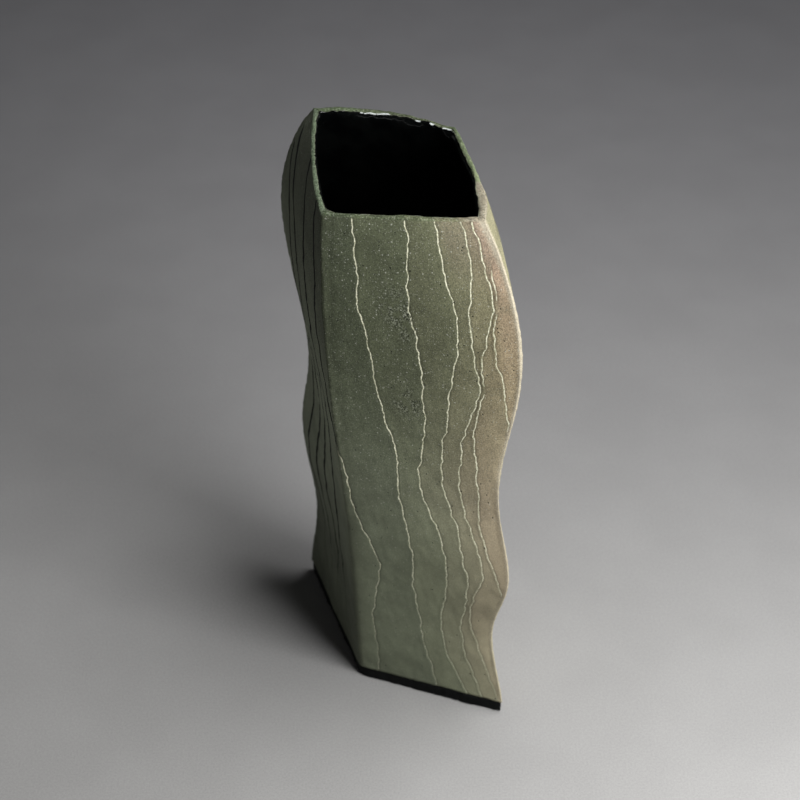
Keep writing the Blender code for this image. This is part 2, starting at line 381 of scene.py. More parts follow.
def spread(paths, shows, unit):
    """Keep the lines in order and a little apart; a line that doesn't show takes almost no room."""
    kernel = np.ones(2 * ROOM_ROWS + 1) / (2 * ROOM_ROWS + 1)
    padded = np.pad(shows, ((ROOM_ROWS, ROOM_ROWS), (0, 0)), mode="edge")
    eased = np.array([np.convolve(column, kernel, mode="valid") for column in padded.T]).T
    eased = np.maximum(eased, shows)
    room = (HIDDEN_SPACE + (LINE_SPACE - HIDDEN_SPACE) * eased) / unit
    between = (room[:, 1:] + room[:, :-1]) / 2
    placed = paths.copy()
    count = placed.shape[1]
    placed[:, 0] = np.maximum(placed[:, 0], room[:, 0] * 0.8)
    for index in range(1, count):
        placed[:, index] = np.maximum(placed[:, index], placed[:, index - 1] + between[:, index - 1])
    placed[:, -1] = np.minimum(placed[:, -1], 2 - room[:, -1] * 0.6)
    for index in reversed(range(count - 1)):
        placed[:, index] = np.minimum(placed[:, index], placed[:, index + 1] - between[:, index])
    pushed = np.abs(placed - paths) * unit / LINE_SPACE
    return placed, shows * np.clip(1.8 - pushed, 0, 1), room * unit / LINE_SPACE


def strip_edges(placed):
    """The lines' places on each row, with the two seams before and after them."""
    return np.pad(placed, ((0, 0), (1, 1)), constant_values=(0.0, 2.0))


def side_widths(places, units):
    """For each place, how wide its side of the fold is on its row."""
    return np.where(places < 1, units[:, :1], units[:, 1:])


def column_grid(placed, room, units):
    """Columns that follow the lines: five at each line and evenly spaced ones between them."""
    count = placed.shape[1]
    edges = strip_edges(placed)
    reach = LINE_OFFSETS[-1] * np.minimum(room, 1) / side_widths(placed, units)
    reach = np.pad(reach, ((0, 0), (1, 1)))
    columns = []
    for gap in range(count + 1):
        left = edges[:, gap] + reach[:, gap]
        right = edges[:, gap + 1] - reach[:, gap + 1]
        width = ((right - left) * units.mean()).max()
        steps = max(2, int(math.ceil(width / COLUMN_STEP)))
        last = steps + 1 if gap == count else steps
        columns += [left + (right - left) * step / steps for step in range(min(gap, 1), last)]
        if gap < count:
            shares = LINE_OFFSETS / LINE_OFFSETS[-1]
            columns += [placed[:, gap] + reach[:, gap + 1] * share for share in shares]
    return np.array(columns).T


def outward(surface):
    """Unit outward normals of a wall's grid of points (rows by columns)."""
    return one_long(np.cross(np.gradient(surface, axis=1), np.gradient(surface, axis=0)))


def lip_rise(points):
    """How far the lip stands above or below the CAD's rim, so that it isn't level."""
    rise = 0.35 * MM * ripple(points, 22 * MM, 91) + 0.16 * MM * ripple(points, 5 * MM, 92)
    back = np.clip(points[..., 1] / (45 * MM), 0, 1)
    return rise + 0.8 * MM * back


def lip_width(points):
    """How far each face of the lip moves out from the CAD's, as the clay was pinched by hand."""
    right = ramp_up(points[..., 0], 22 * MM, 8 * MM)
    pinched = 0.12 * MM * ripple(points, 14 * MM, 93) + 0.08 * MM * ripple(points, 4 * MM, 94)
    return pinched - 0.28 * MM * right


def lip_shift(points):
    """How far the lip's inner face stands outside the CAD's, which makes it thick by the front seam only."""
    side = walls["back_slab"]["inner"][-1][:, 1]
    share = (points[..., 1] - side[0]) / (side[len(side) // 2] - side[0])
    right = ramp_up(points[..., 0], 20 * MM, 4 * MM)
    left = ramp_up(-points[..., 0], 20 * MM, 4 * MM)
    thin = 1.0 * MM * ramp_up(share, 0.40, 0.6)
    thick = 1.3 * MM * bell(share, 0.24, 0.14, 4)
    return right * (thin - thick) + left * 0.5 * MM


def seam_side(points):
    """One on the lip by the front right seam, where it was rubbed to a paler clay, and zero elsewhere."""
    return ramp_up(points[..., 0], 24 * MM, 6 * MM) * ramp_up(-points[..., 1], 13 * MM, 3 * MM)


def lip_fade(heights):
    """How much of the lip's shift each height takes: all of it at the rim, none 14 mm lower."""
    return ramp_up(heights, HEIGHT - 14 * MM, 12 * MM) ** 1.5


def fold_corner(path, near, far):
    """Where the straight sides on either hand of a path's fold would meet, and their directions."""
    run, fold = run_and_fold(path)

    def at(offset):
        return np.array([np.interp(fold + offset, run, path[:, axis]) for axis in range(2)])

    back = one_long(at(-far) - at(-near))
    ahead = one_long(at(far) - at(near))
    gap = at(near) - at(-near)
    step = (gap[0] * ahead[1] - gap[1] * ahead[0]) / (back[0] * ahead[1] - back[1] * ahead[0])
    return at(-near) + step * back, back, ahead


def square_off(ring, corners, amount, reach=3.2 * MM):
    """Take the rounding out of a ring near some corners; amount runs from 0 to 1."""
    ring = ring.copy()
    for corner, back, ahead in corners:
        offset = ring - corner
        near = np.linalg.norm(offset, axis=1) < reach
        along_back = np.maximum(offset @ back, 0)
        along_ahead = np.maximum(offset @ ahead, 0)
        squared = np.where((along_back > along_ahead)[:, None], corner + along_back[:, None] * back,
                           corner + along_ahead[:, None] * ahead)
        squared[np.linalg.norm(offset, axis=1).argmin()] = corner
        ring[near] += (squared[near] - ring[near]) * amount
    return ring


def crisp_fold(surface, dense, reach, heights):
    """Square off a wall's fold, from nothing at the first height to fully at the second."""
    for index in range(len(surface)):
        amount = float(np.interp(surface[index, 0, 2], heights, (0, 1)))
        if amount > 0:
            corner = fold_corner(dense[index], reach, reach + FOLD_STRAIGHT)
            surface[index, :, :2] = square_off(surface[index, :, :2], [corner], amount, reach * 1.2)
    return surface


def make_piece(name, vertices, faces, attributes, material, nodes, slot):
    """A mesh piece that stands for CAD nodes and rides on the root body."""
    mesh = bpy.data.meshes.new(name)
    mesh.from_pydata(vertices.tolist(), [], faces)
    for key, values in attributes.items():
        layer = mesh.attributes.new(key, "FLOAT_COLOR", "POINT")
        layer.data.foreach_set("color", values.astype(np.float32).ravel())
    mesh.shade_smooth()
    mesh.materials.append(material)
    mesh.validate()
    piece = new_object(name, mesh)
    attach(piece, "root")
    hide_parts(*nodes)
    return piece


def slab_rows():
    """Heights of the skins' rows, from the top of the base to where the lip starts to turn."""
    low = FLOOR_TOP + GAP * 0.4
    high = HEIGHT - LIP_RADIUS
    count = int(round((high - low) / ROW_STEP / INNER_STRIDE)) * INNER_STRIDE
    return low + (high - low) * np.arange(count + 1) / count


def strip_shares(grid, placed):
    """For each column, which strip it lies in and how far across that strip it is."""
    edges = strip_edges(placed)
    strip = (grid[:, :, None] > placed[:, None, :]).sum(-1)
    left = picked(edges, strip)
    right = picked(edges, strip + 1)
    return strip, np.clip((grid - left) / (right - left), 0, 1)


def close_ends(face):
    """Move a face's first and last columns on towards their seams, so that the slabs meet."""
    toward = np.zeros_like(face)
    toward[:, 0] = face[:, 0] - face[:, 1]
    toward[:, -1] = face[:, -1] - face[:, -2]
    toward /= np.maximum(np.linalg.norm(toward, axis=2, keepdims=True), 1e-9)
    return face + toward * CLOSING


def slab_skin(slab, lines, line_ledges, tones, paleness, pitted):
    """The visible wall of one slab: its lines, ledges, uneven lip and inner face, as one closed shell."""
    rows = slab_rows()
    dense = spline(wall_heights, walls[slab]["outer"], rows)
    lengths = np.linalg.norm(np.diff(dense, axis=1), axis=2)
    half = lengths.shape[1] // 2
    units = np.stack([lengths[:, :half].sum(1), lengths[:, half:].sum(1)], axis=1)
    paths, shows = line_paths(slab, lines, rows, units)
    placed, shows, room = spread(paths, shows, units.mean())
    grid = column_grid(placed, room, units)
    outer = wall_surface(walls[slab]["outer"], wall_heights, rows, grid)
    inner = wall_surface(walls[slab]["inner"], wall_heights, rows, grid)
    if slab == "back_slab":
        outer = crisp_fold(outer, dense, OUTER_FOLD, BACK_CRISP)
        inner = crisp_fold(inner, spline(wall_heights, walls[slab]["inner"], rows), INNER_FOLD, BACK_CRISP)
    else:
        outer = crisp_fold(outer, dense, OUTER_FOLD, FRONT_CRISP)
    normal = outward(outer)
    inner += outward(inner) * (lip_shift(inner[-1:]) * lip_fade(rows)[:, None])[:, :, None]

    strip, share = strip_shares(grid, placed)
    nearest = np.abs(grid[:, :, None] - placed[:, None, :]).argmin(-1)
    slant = np.gradient(placed, rows, axis=0) * side_widths(placed, units)
    distance = (grid - picked(placed, nearest)) * side_widths(grid, units)
    distance = distance / np.sqrt(1 + picked(slant, nearest) ** 2)
    show = picked(shows, nearest)
    relief = line_relief(shows, strip, share, nearest, distance, show, line_ledges)
    relief += wall_relief(outer)
    seam = np.minimum(grid * units[:, :1], (2 - grid) * units[:, 1:])
    relief *= 0.35 + 0.65 * np.clip(seam / (3 * MM), 0, 1)
    ridge = 1 + 0.5 * waver(rows, SEED + 30, (7 * MM,), (0.7,))
    relief += SEAM_RIDGE * bell(seam, 0, 1.6 * MM) * ridge[:, None]
    outer = close_ends(outer + normal * relief[:, :, None])
    inner = close_ends(inner)

    middle = (outer[-1] + inner[-1]) / 2
    lip = lip_rings(middle, (outer[-1] - inner[-1]) / 2)
    inner_rows = inner[::INNER_STRIDE][::-1]
    vertices = np.concatenate([*outer, *lip, *inner_rows])
    faces = slab_faces(grid.shape[1], len(outer), len(lip), len(inner_rows))
    tone, marks = slab_paint(slab, rows, grid, units, outer, strip, share, shows, distance, show, nearest,
                             tones, paleness, pitted)
    lip_tone, lip_marks = lip_paint(tone[-1:], marks[-1:], middle, len(lip) + len(inner_rows))
    tone = np.concatenate([tone, lip_tone]).reshape(-1, 4)
    marks = np.concatenate([marks, lip_marks]).reshape(-1, 4)
    return vertices, faces, {"tone": tone, "marks": marks}


def line_relief(shows, strip, share, nearest, distance, show, line_ledges):
    """Each strip stands proud at its right edge and drops at the line, with a shallow groove."""
    ledge = np.array(line_ledges)[nearest]
    ahead = picked(np.pad(shows, ((0, 0), (0, 1))), strip)
    ahead_ledge = np.array(list(line_ledges) + [0.0])[strip]
    relief = LEDGE * ahead_ledge * ahead * share ** 2
    relief -= (LEDGE * 0.4 + GROOVE * (1 - 0.5 * ledge)) * show * bell(distance, 0, 0.42 * MM)
    relief += 0.10 * MM * show * ledge * bell(distance, -0.8 * MM, 0.5 * MM)
    return relief


def wall_relief(outer):
    """The slight unevenness of a hand-rolled slab, at three sizes."""
    coarse = 0.30 * MM * ripple(outer, 60 * MM, SEED + 1) + 0.10 * MM * ripple(outer, 17 * MM, SEED + 2)
    return coarse + 0.035 * MM * ripple(outer, 5.5 * MM, SEED + 3)


def lip_rings(middle, reach):
    """Rings over the lip: half an oval from the outer face to the inner one, pinched unevenly."""
    spare = lip_width(middle)[:, None] * one_long(reach)
    rise = lip_rise(middle)
    lip = []
    for step in range(1, LIP_STEPS):
        angle = math.pi * step / LIP_STEPS
        across = math.copysign(abs(math.cos(angle)) ** 0.72, math.cos(angle))
        up = math.sin(angle) ** 0.80
        ring = middle + reach * across + spare * across * up
        ring[:, 2] += (LIP_RADIUS + rise) * up
        lip.append(ring)
    return lip


def sheet_faces(count, columns, closed=False):
    """Faces between rows of points, where each row is open or closed into a ring."""
    faces = []
    for base in range(0, (count - 1) * columns, columns):
        for i in range(columns if closed else columns - 1):
            j = (i + 1) % columns
            faces.append((base + i, base + j, base + columns + j, base + columns + i))
    return faces


def slab_faces(columns, outer_count, lip_count, inner_count):
    """Faces of a slab's shell: up its outer face, over the lip, down its inner face, and its ends."""
    count = outer_count + lip_count + inner_count
    faces = sheet_faces(count, columns)
    last = (count - 1) * columns
    faces += [(i + 1, i, last + i, last + i + 1) for i in range(columns - 1)]
    lip_end = outer_count + lip_count
    for column, turn in ((0, 1), (columns - 1, -1)):
        lip_ring = [column + ring * columns for ring in range(outer_count - 1, lip_end + 1)]
        faces.append(tuple(lip_ring[::turn]))
        for index in range(inner_count - 1):
            top_row = outer_count - 1 - index * INNER_STRIDE
            outside = [column + ring * columns for ring in range(top_row - INNER_STRIDE, top_row + 1)]
            inside = [column + (lip_end + index) * columns, column + (lip_end + index + 1) * columns]
            faces.append(tuple((outside + inside)[::turn]))
    return faces


def lip_paint(tone, marks, middle, count):
    """Colours of the lip and the inner face: the top row's, greener, and rubbed pale by the seam."""
    lip_tone = np.repeat(tone, count, axis=0)
    lip_marks = np.repeat(marks, count, axis=0)
    rubbed = seam_side(middle)
    lip_marks[:, :, 0] *= 0.7 * lip_marks[:, :, 1]
    lip_marks[:, :, 2] = 0.30 + 0.12 * rubbed
    lip_marks[:, :, 3] = 0.38
    at_side = ramp_up(np.abs(middle[:, 0]), 20 * MM, 6 * MM) * ramp_up(middle[:, 1], -44 * MM, 6 * MM)
    lip_tone[:, :, :3] *= LIP_TINT * (1 + at_side[:, None] * LIP_SIDE_TINT)
    lip_tone[:, :, :3] += (0.92 * SEAM_TONE - lip_tone[:, :, :3]) * rubbed[None, :, None]
    return lip_tone, lip_marks


def blended_tones(tones, shows):
    """Each strip's tone on each row; where a line fades out, the strips beside it share a tone."""
    count = shows.shape[1]
    tone_rows = np.repeat(np.array(tones)[None], len(shows), axis=0)
    middle = count // 2
    for index in range(middle + 1, count + 1):
        before = tone_rows[:, index - 1]
        tone_rows[:, index] = before + shows[:, index - 1, None] * (tone_rows[:, index] - before)
    for index in reversed(range(middle)):
        after = tone_rows[:, index + 1]
        tone_rows[:, index] = after + shows[:, index, None] * (tone_rows[:, index] - after)
    return tone_rows


def front_tone(tone, rows, grid, tint):
    """The front slab's own tones: a dark cloud and warmer strips by the seam; past the fold the painted shade
    that darkens towards the rim, and on the left panel a painted band of light at mid-height.
    """
    height = rows[:, None]
    cloud = 1 - 0.24 * ramp_up(height, 175 * MM, 50 * MM) * bell(grid, 1.44, 0.19, 4)
    cloud = cloud * (1 - 0.12 * ramp_up(height, 285 * MM, 25 * MM) * ramp_up(-grid, -1.5, 0.2))
    warm = ramp_up(height, 290 * MM, 25 * MM) * ramp_up(grid, 1.66, 0.08)
    warm += 0.8 * ramp_up(height, 235 * MM, 60 * MM) * ramp_up(grid, 1.88, 0.04)
    tone = tone * cloud[:, :, None] * (1 + warm[:, :, None] * WARM_TINT)
    low_right = ramp_up(-height, -75 * MM, 60 * MM) * ramp_up(grid, 1.58, 0.1)
    tone = tone * (1 + 0.14 * low_right)[:, :, None]
    past_fold = ramp_up(grid, 0.985, 0.02)[:, :, None]
    # Painted light on the left panel: paler at mid-height, darker at the foot and the rim
    centre, below, above = LEFT_PANEL_LIT_BAND
    lit_band = bell(rows, centre, np.where(rows < centre, below, above))
    level = (LEFT_PANEL_LIT_LEVELS[0] + (LEFT_PANEL_LIT_LEVELS[1] - LEFT_PANEL_LIT_LEVELS[0]) * lit_band)[:, None, None]
    return tone * (1 + (tint[:, None, :] - 1) * past_fold) * (1 + (level * LEFT_TINT - 1) * (1 - past_fold))


def slab_paint(slab, rows, grid, units, outer, strip, share, shows, distance, show, nearest,
               tones, paleness, pitted):
    """Colours for each point: the strip's tone, and marks for lines, wear and pitting."""
    front = slab == "front_slab"
    tone = picked(blended_tones(tones, shows), strip[:, :, None].repeat(3, axis=2))
    tone = tone * (0.96 + 0.08 * share)[:, :, None]
    # Painted shade: the walls darken towards the rim and turn greener as they darken
    risen = ramp_up(rows, SHADE_FADE[0], SHADE_FADE[1] - SHADE_FADE[0])
    shade = SHADE_LEVELS[0] + (SHADE_LEVELS[1] - SHADE_LEVELS[0]) * risen ** 2 * (3 - 2 * risen)
    greener = ramp_up(-shade, -1, 0.3)
    tint = shade[:, None] * (1 - greener[:, None] * GREENER)
    tone = front_tone(tone, rows, grid, tint) if front else tone * tint[:, None, :]
    drift = 1 + 0.05 * ripple(outer, 45 * MM, SEED + 11) + 0.03 * ripple(outer, 12 * MM, SEED + 12)
    tone = tone * drift[:, :, None]

    # The front's left-panel lines reach wider and are near-black: painted shade in the grooves
    reach = np.where(nearest < FOLD_LINE, DARK_REACH, PALE_REACH) if front else PALE_REACH
    closeness = np.clip(1 - np.abs(distance) / reach, 0, 1) * show
    fade = np.interp(rows, *LINE_FADE)[:, None]
    pale = np.array(paleness)[nearest] * fade
    if front:
        # The fold line is near-black on the left panel as painted shade, and turns pale past the fold
        pale = np.where(nearest == FOLD_LINE, ramp_up(grid, 0.985, 0.03) * fade, pale)

    # Wear: along the rim, and along the crest of the front right seam
    below_rim = HEIGHT - outer[:, :, 2]
    seam_front = (2 - grid) * units[:, 1:] if front else grid * units[:, :1]
    rim_wear = 0.42 * bell(below_rim, 0, 3.0 * MM, 1.2)
    high_up = np.interp(below_rim / MM, *CREST_LEVELS)
    width = (np.interp(below_rim / MM, *CREST_WIDTHS) if front else BACK_CREST_WIDTH) * MM
    crest = high_up * np.clip(1.5 - seam_front / width, 0, 1)
    crest_share = np.clip(1.4 - seam_front / width, 0, 1) * ramp_up(high_up, 0.50, 0.2)
    tone += (SEAM_TONE - tone) * (crest_share * 0.8)[:, :, None]
    wear = np.clip(np.maximum(rim_wear, crest), 0, 1)
    pitting = np.zeros_like(grid)
    for number, across, height, tall in pitted:
        near = bell(share, across, 0.35) * bell(outer[:, :, 2], height * HEIGHT, tall)
        pitting += near * (strip == number) * np.clip(0.65 + 0.5 * ripple(outer, 6 * MM, SEED + 21), 0, 1)
    marks = np.stack([closeness, pale, wear, np.clip(pitting, 0, 1)], axis=2)
    return np.concatenate([tone, np.ones(tone.shape[:2] + (1,))], axis=2), marks


# Materials, all procedural

class Graph:
    """A material's nodes, with one-line helpers for the kinds used here."""

    def __init__(self, name):
        self.material = bpy.data.materials.new(name)
        self.material.use_nodes = True
        self.tree = self.material.node_tree
        self.tree.nodes.clear()
        self.place = self.add("ShaderNodeTexCoord").outputs["Object"]

    def add(self, kind, inputs=(), **settings):
        """Add a node, set it up and feed its inputs, which are given by name or number."""
        node = self.tree.nodes.new(kind)
        for key, value in settings.items():
            setattr(node, key, value)
        for key, value in dict(inputs).items():
            if isinstance(value, bpy.types.NodeSocket):
                self.tree.links.new(value, node.inputs[key])
            else:
                node.inputs[key].default_value = value
        return node

    def math(self, operation, first, second=0.0, clamp=False):
        inputs = {0: first, 1: second}
        return self.add("ShaderNodeMath", inputs, operation=operation, use_clamp=clamp).outputs[0]

    def times(self, first, second):
        return self.math("MULTIPLY", first, second)

    def ramp(self, value, low, high, start=0.0, end=1.0):
        inputs = enumerate((value, low, high, start, end))
        kind = "ShaderNodeMapRange"
        return self.add(kind, inputs, interpolation_type="SMOOTHSTEP", clamp=True).outputs[0]

    def noise(self, size, detail=2.0, rough=0.5):
        inputs = {"Vector": self.place, "Scale": 1 / size, "Detail": detail, "Roughness": rough}
        return self.add("ShaderNodeTexNoise", inputs).outputs["Fac"]

    def cells(self, size, far, near):
        """Dots about the middles of scattered cells, and two random numbers for each cell."""
        inputs = {"Vector": self.place, "Scale": 1 / size}
        node = self.add("ShaderNodeTexVoronoi", inputs, feature="F1")
        chances = self.channels(node.outputs["Color"])
        return self.ramp(node.outputs["Distance"], far, near), chances[0], chances[1]

    def mix(self, share, first, second, blend="MIX"):
        inputs = {0: share, 6: first, 7: second}
        return self.add("ShaderNodeMix", inputs, data_type="RGBA", blend_type=blend).outputs[2]

    def shade(self, colour, share, dark, light):
        """A colour multiplied by a shade between a dark one and a light one."""
        return self.mix(1.0, colour, self.mix(share, (*dark, 1), (*light, 1)), "MULTIPLY")

    def cover(self, share, amount, colour, cover):
        """A colour covered by another by up to an amount."""
        return self.mix(self.times(share, amount), colour, cover)

    def bump(self, height, distance):
        inputs = {"Strength": 1.0, "Distance": distance, "Height": height}
        return self.add("ShaderNodeBump", inputs).outputs["Normal"]

    def attribute(self, name):
        return self.add("ShaderNodeAttribute", attribute_type="GEOMETRY", attribute_name=name)

    def shaken(self, value, size, amount, detail):
        """A value moved up and down by noise of a given size."""
        noise = self.math("SUBTRACT", self.noise(size, detail, 0.6), 0.5)
        return self.math("ADD", value, self.times(noise, amount))

    def along(self, axis):
        """One coordinate of the point being shaded: 0 is x, 1 is y and 2 is the height."""
        return self.add("ShaderNodeSeparateXYZ", {0: self.place}).outputs[axis]

    def channels(self, colour):
        return self.add("ShaderNodeSeparateColor", {0: colour}).outputs

    def close(self, colour, roughness, normal, specular=0.5, coat=0.0):
        """Finish the material with a Principled shader."""
        inputs = {"Base Color": colour, "Roughness": roughness, "Specular IOR Level": specular,
                  "Coat Weight": coat, "Normal": normal}
        shader = self.add("ShaderNodeBsdfPrincipled", inputs)
        self.add("ShaderNodeOutputMaterial", {"Surface": shader.outputs[0]})
        return self.material


# Colours of the slip's details, and its specks: size, and how rare and how strong they are
SPECK = (0.50, 0.51, 0.44, 1)
HALO = (0.030, 0.034, 0.022, 1)
PALE_LINE = ((0.30, 0.30, 0.20, 1), (0.60, 0.59, 0.45, 1))
# Near-black lines: on the front slab's left panel, painted shade in the grooves
DARK_LINE = (0.004, 0.005, 0.004, 1)
WORN = (0.46, 0.425, 0.335, 1)
PITTED_CLAY = (0.036, 0.040, 0.025, 1)
CRUMB = (0.44, 0.46, 0.38, 1)
PIT = (0.010, 0.012, 0.008, 1)
SPECKS = ((0.90 * MM, 0.52, 0.75, 0.31), (1.5 * MM, 0.84, 0.92, 0.48))


def slip_material():
    """Matte sprayed slip over clay: speckle, pits, scraped lines and worn edges."""
    graph = Graph("matte_slip")
    tone = graph.attribute("tone").outputs["Color"]
    marks = graph.attribute("marks")
    closeness, pale, wear = graph.channels(marks.outputs["Color"])[:3]
    pitting = marks.outputs["Alpha"]

    mottle = graph.noise(9 * MM, 3.0, 0.6)
    grain = graph.noise(0.75 * MM, 2.0, 0.7)
    coarse = graph.ramp(graph.along(2), 70 * MM, 250 * MM, 0.28, 1.0)
    colour = graph.shade(tone, graph.ramp(mottle, 0.3, 0.7), (0.95, 0.95, 0.95), (1.05, 1.05, 1.05))
    grainy = graph.shade(colour, graph.ramp(grain, 0.25, 0.75), (0.58, 0.59, 0.58), (1.43, 1.42, 1.40))
    colour = graph.mix(coarse, colour, grainy)
    specks = []
    for size, rare, common, strength in SPECKS:
        dot, chance, _ = graph.cells(size, 0.34, 0.18)
        shown = graph.times(graph.times(dot, graph.ramp(chance, rare, common)), coarse)
        colour = graph.cover(shown, strength, colour, SPECK)
        specks.append(shown)

    # Lines: a dark halo, then a black line or a pale, beaded one; the black lines on the front's left panel
    # are painted shade in the grooves
    ragged = graph.shaken(graph.shaken(closeness, 0.9 * MM, 0.20, 1.0), 3.2 * MM, 0.26, 1.0)
    halo = graph.ramp(ragged, 0.30, 0.72, 0.0, 0.34)
    colour = graph.mix(halo, colour, HALO)
    is_pale = graph.ramp(pale, 0.05, 0.45)
    edge = graph.ramp(is_pale, 0.0, 1.0, 0.46, 0.815)
    line = graph.ramp(graph.math("SUBTRACT", ragged, edge), 0.0, 0.12)
    beads = graph.ramp(graph.noise(1.3 * MM, 2.0, 0.7), 0.36, 0.62)
    pale_line = graph.mix(beads, *PALE_LINE)
    faint_line = graph.mix(graph.ramp(pale, 0.35, 1.0), graph.mix(0.30, colour, pale_line), pale_line)
    colour = graph.mix(line, colour, graph.mix(is_pale, DARK_LINE, faint_line))

    # Worn edges, single pits, and pits and crumbs gathered where the slab is pitted
    worn = graph.ramp(graph.shaken(wear, 1.0 * MM, 1.3, 3.0), 0.35, 0.95)
    colour = graph.cover(worn, 0.50, colour, WORN)
    dot, _, chance = graph.cells(1.25 * MM, 0.40, 0.22)
    single = graph.times(dot, graph.ramp(chance, 0.984, 0.990))
    crumbs = graph.noise(0.95 * MM, 2.0, 0.6)
    gathered = graph.times(pitting, graph.ramp(crumbs, 0.49, 0.41))
    hole = graph.math("ADD", single, gathered, clamp=True)
    colour = graph.cover(pitting, 0.06, colour, PITTED_CLAY)
    raised = graph.times(pitting, graph.ramp(crumbs, 0.53, 0.62))
    colour = graph.cover(raised, 0.50, colour, CRUMB)
    colour = graph.cover(hole, 0.95, colour, PIT)

    relief = graph.times(graph.noise(0.5 * MM, 3.0, 0.65), 0.7)
    relief = graph.math("ADD", relief, graph.times(mottle, 0.4))
    for shown in specks:
        relief = graph.math("ADD", relief, graph.times(shown, 0.4))
    relief = graph.math("SUBTRACT", relief, graph.times(hole, 2.2))
    normal = graph.bump(relief, 0.17 * MM)
    return graph.close(colour, graph.ramp(grain, 0.2, 0.8, 0.80, 0.92), normal, specular=0.25)


def clay_nodes(name, low, high, grain, relief, specular):
    """Bare or dark fired clay with mottling, grog specks and a rough grain."""
    graph = Graph(name)
    mottle = graph.noise(6 * MM, 4.0, 0.6)
    colour = graph.mix(graph.ramp(mottle, 0.3, 0.7), low, high)
    dot, chance, _ = graph.cells(1.2 * MM, 0.32, 0.15)
    shown = graph.times(dot, graph.ramp(chance, 0.6, 0.8))
    colour = graph.cover(shown, 0.5, colour, grain)
    fine = graph.noise(0.5 * MM, 3.0, 0.65)
    normal = graph.bump(graph.math("ADD", fine, graph.times(mottle, 0.8)), relief)
    return graph.close(colour, graph.ramp(fine, 0.3, 0.7, 0.72, 0.90), normal, specular)


GLAZE_BLACK = ((0.0016, 0.0018, 0.0020, 1), (0.0040, 0.0046, 0.0044, 1))
GLAZE_THIN = (0.20, 0.21, 0.15, 1)
# Near-white: painted highlight on the back lip's glaze bead
GLAZE_PAINTED_HIGHLIGHT = (0.72, 0.76, 0.74, 1)


def glaze_material():
    """Glossy black glaze that gathers a greyer, broken tint where it thins over the lip, with near-white
    patches of painted highlight on the back lip's bead.
    """
    graph = Graph("black_glaze")
    pool = graph.noise(14 * MM, 3.0, 0.55)
    colour = graph.mix(graph.ramp(pool, 0.35, 0.65), *GLAZE_BLACK)
    thin, highlight = graph.channels(graph.attribute("marks").outputs["Color"])[:2]
    broken = graph.ramp(graph.shaken(thin, 1.6 * MM, 0.9, 3.0), 0.55, 0.95)
    colour = graph.cover(broken, 0.8, colour, GLAZE_THIN)
    # Painted highlight: near-white patches on the back lip's glaze bead
    highlight_mask = graph.ramp(graph.shaken(highlight, 1.1 * MM, 1.7, 3.0), 0.62, 0.85)
    colour = graph.cover(highlight_mask, 0.9, colour, GLAZE_PAINTED_HIGHLIGHT)
    fine = graph.times(graph.noise(1.2 * MM, 2.0), 0.10)
    ripples = graph.math("ADD", graph.noise(5 * MM, 2.0), fine)
    normal = graph.bump(ripples, 0.25 * MM)
    return graph.close(colour, graph.ramp(pool, 0.3, 0.7, 0.10, 0.20), normal, specular=0.5, coat=0.3)


FLOOR_CLOUD = ((0.312, 0.311, 0.310, 1), (0.328, 0.327, 0.326, 1))
FLOOR_LIGHT_TINT = ((1.01, 1.0, 0.985), (0.985, 0.98, 1.03))
FLOOR_FIBRE = ((0.91, 0.91, 0.91), (1.09, 1.09, 1.09))


def floor_material():
    """A plain pale floor with a faint cloud, a fine paper fibre, and painted light that is warmer near and
    cooler far.
    """
    graph = Graph("studio_floor")
    cloud = graph.noise(60 * MM, 3.0, 0.5)
    colour = graph.mix(graph.ramp(cloud, 0.3, 0.7), *FLOOR_CLOUD)
    # Painted light: warmer near the camera and cooler far away, for the colour of the light
    colour = graph.shade(colour, graph.ramp(graph.along(1), -0.2, 0.9), *FLOOR_LIGHT_TINT)
    fibre = graph.ramp(graph.noise(1.1 * MM, 3.0, 0.7), 0.3, 0.7)
    colour = graph.shade(colour, fibre, *FLOOR_FIBRE)
    normal = graph.bump(graph.noise(0.8 * MM, 2.0), 0.03 * MM)
    return graph.close(colour, 0.85, normal, specular=0.2)


# The glaze inside: the lining's smooth inner face, carried over the lip's inner edge as a bead

GLAZE_ROWS = 70
GLAZE_STEP = 1.25 * MM
GLAZE_BEAD = 0.28 * MM
GLAZE_BACK = 0.55 * MM
GLAZE_LAP_STEPS = 9
GLAZE_THICK = 0.5 * MM
GLAZE_WALL_GAP = 0.9 * MM
LIP_HALF = 1.5 * MM
GLAZE_NICKS = (0.2, 0.55)
# Painted highlight patches on the back lip's bead: where across the rim, and how wide
GLAZE_HIGHLIGHT_PATCHES = ((0.37, 0.12), (0.64, 0.025), (0.73, 0.02), (0.83, 0.04))


def ring_steps(path):
    """How many pieces each segment of a closed path is cut into."""
    length = np.linalg.norm(np.roll(path, -1, axis=0) - path, axis=1)
    return np.maximum(2, np.ceil(length / GLAZE_STEP).astype(int))


def closed_ring(path, steps):
    """Points on a smooth closed curve through a path, with a set number in each segment."""
    closed = np.concatenate([path[-2:], path, path[:3]])
    run = run_along(closed)
    places = []
    for index, count in enumerate(steps):
        start = run[index + 2]
        length = run[index + 3] - start
        places += [start + length * step / count for step in range(count)]
    return hermite(run, closed, np.array(places))


def ring_outward(ring):
    """Outward directions on a closed ring, lengthened at its corners so that an offset stays even."""
    edge = one_long(np.roll(ring, -1, axis=0) - ring)
    after = np.stack([edge[:, 1], -edge[:, 0]], axis=1)
    normal = one_long(after + np.roll(after, 1, axis=0))
    return normal / np.maximum((normal * after).sum(1, keepdims=True), 0.6)


def moved_in(corner, back, ahead, depth):
    """A corner moved inward with its two sides, and the directions of the sides."""
    half = math.acos(max(-1.0, min(1.0, float(back @ ahead)))) / 2
    return corner + one_long(back + ahead) * depth / math.sin(half), back, ahead


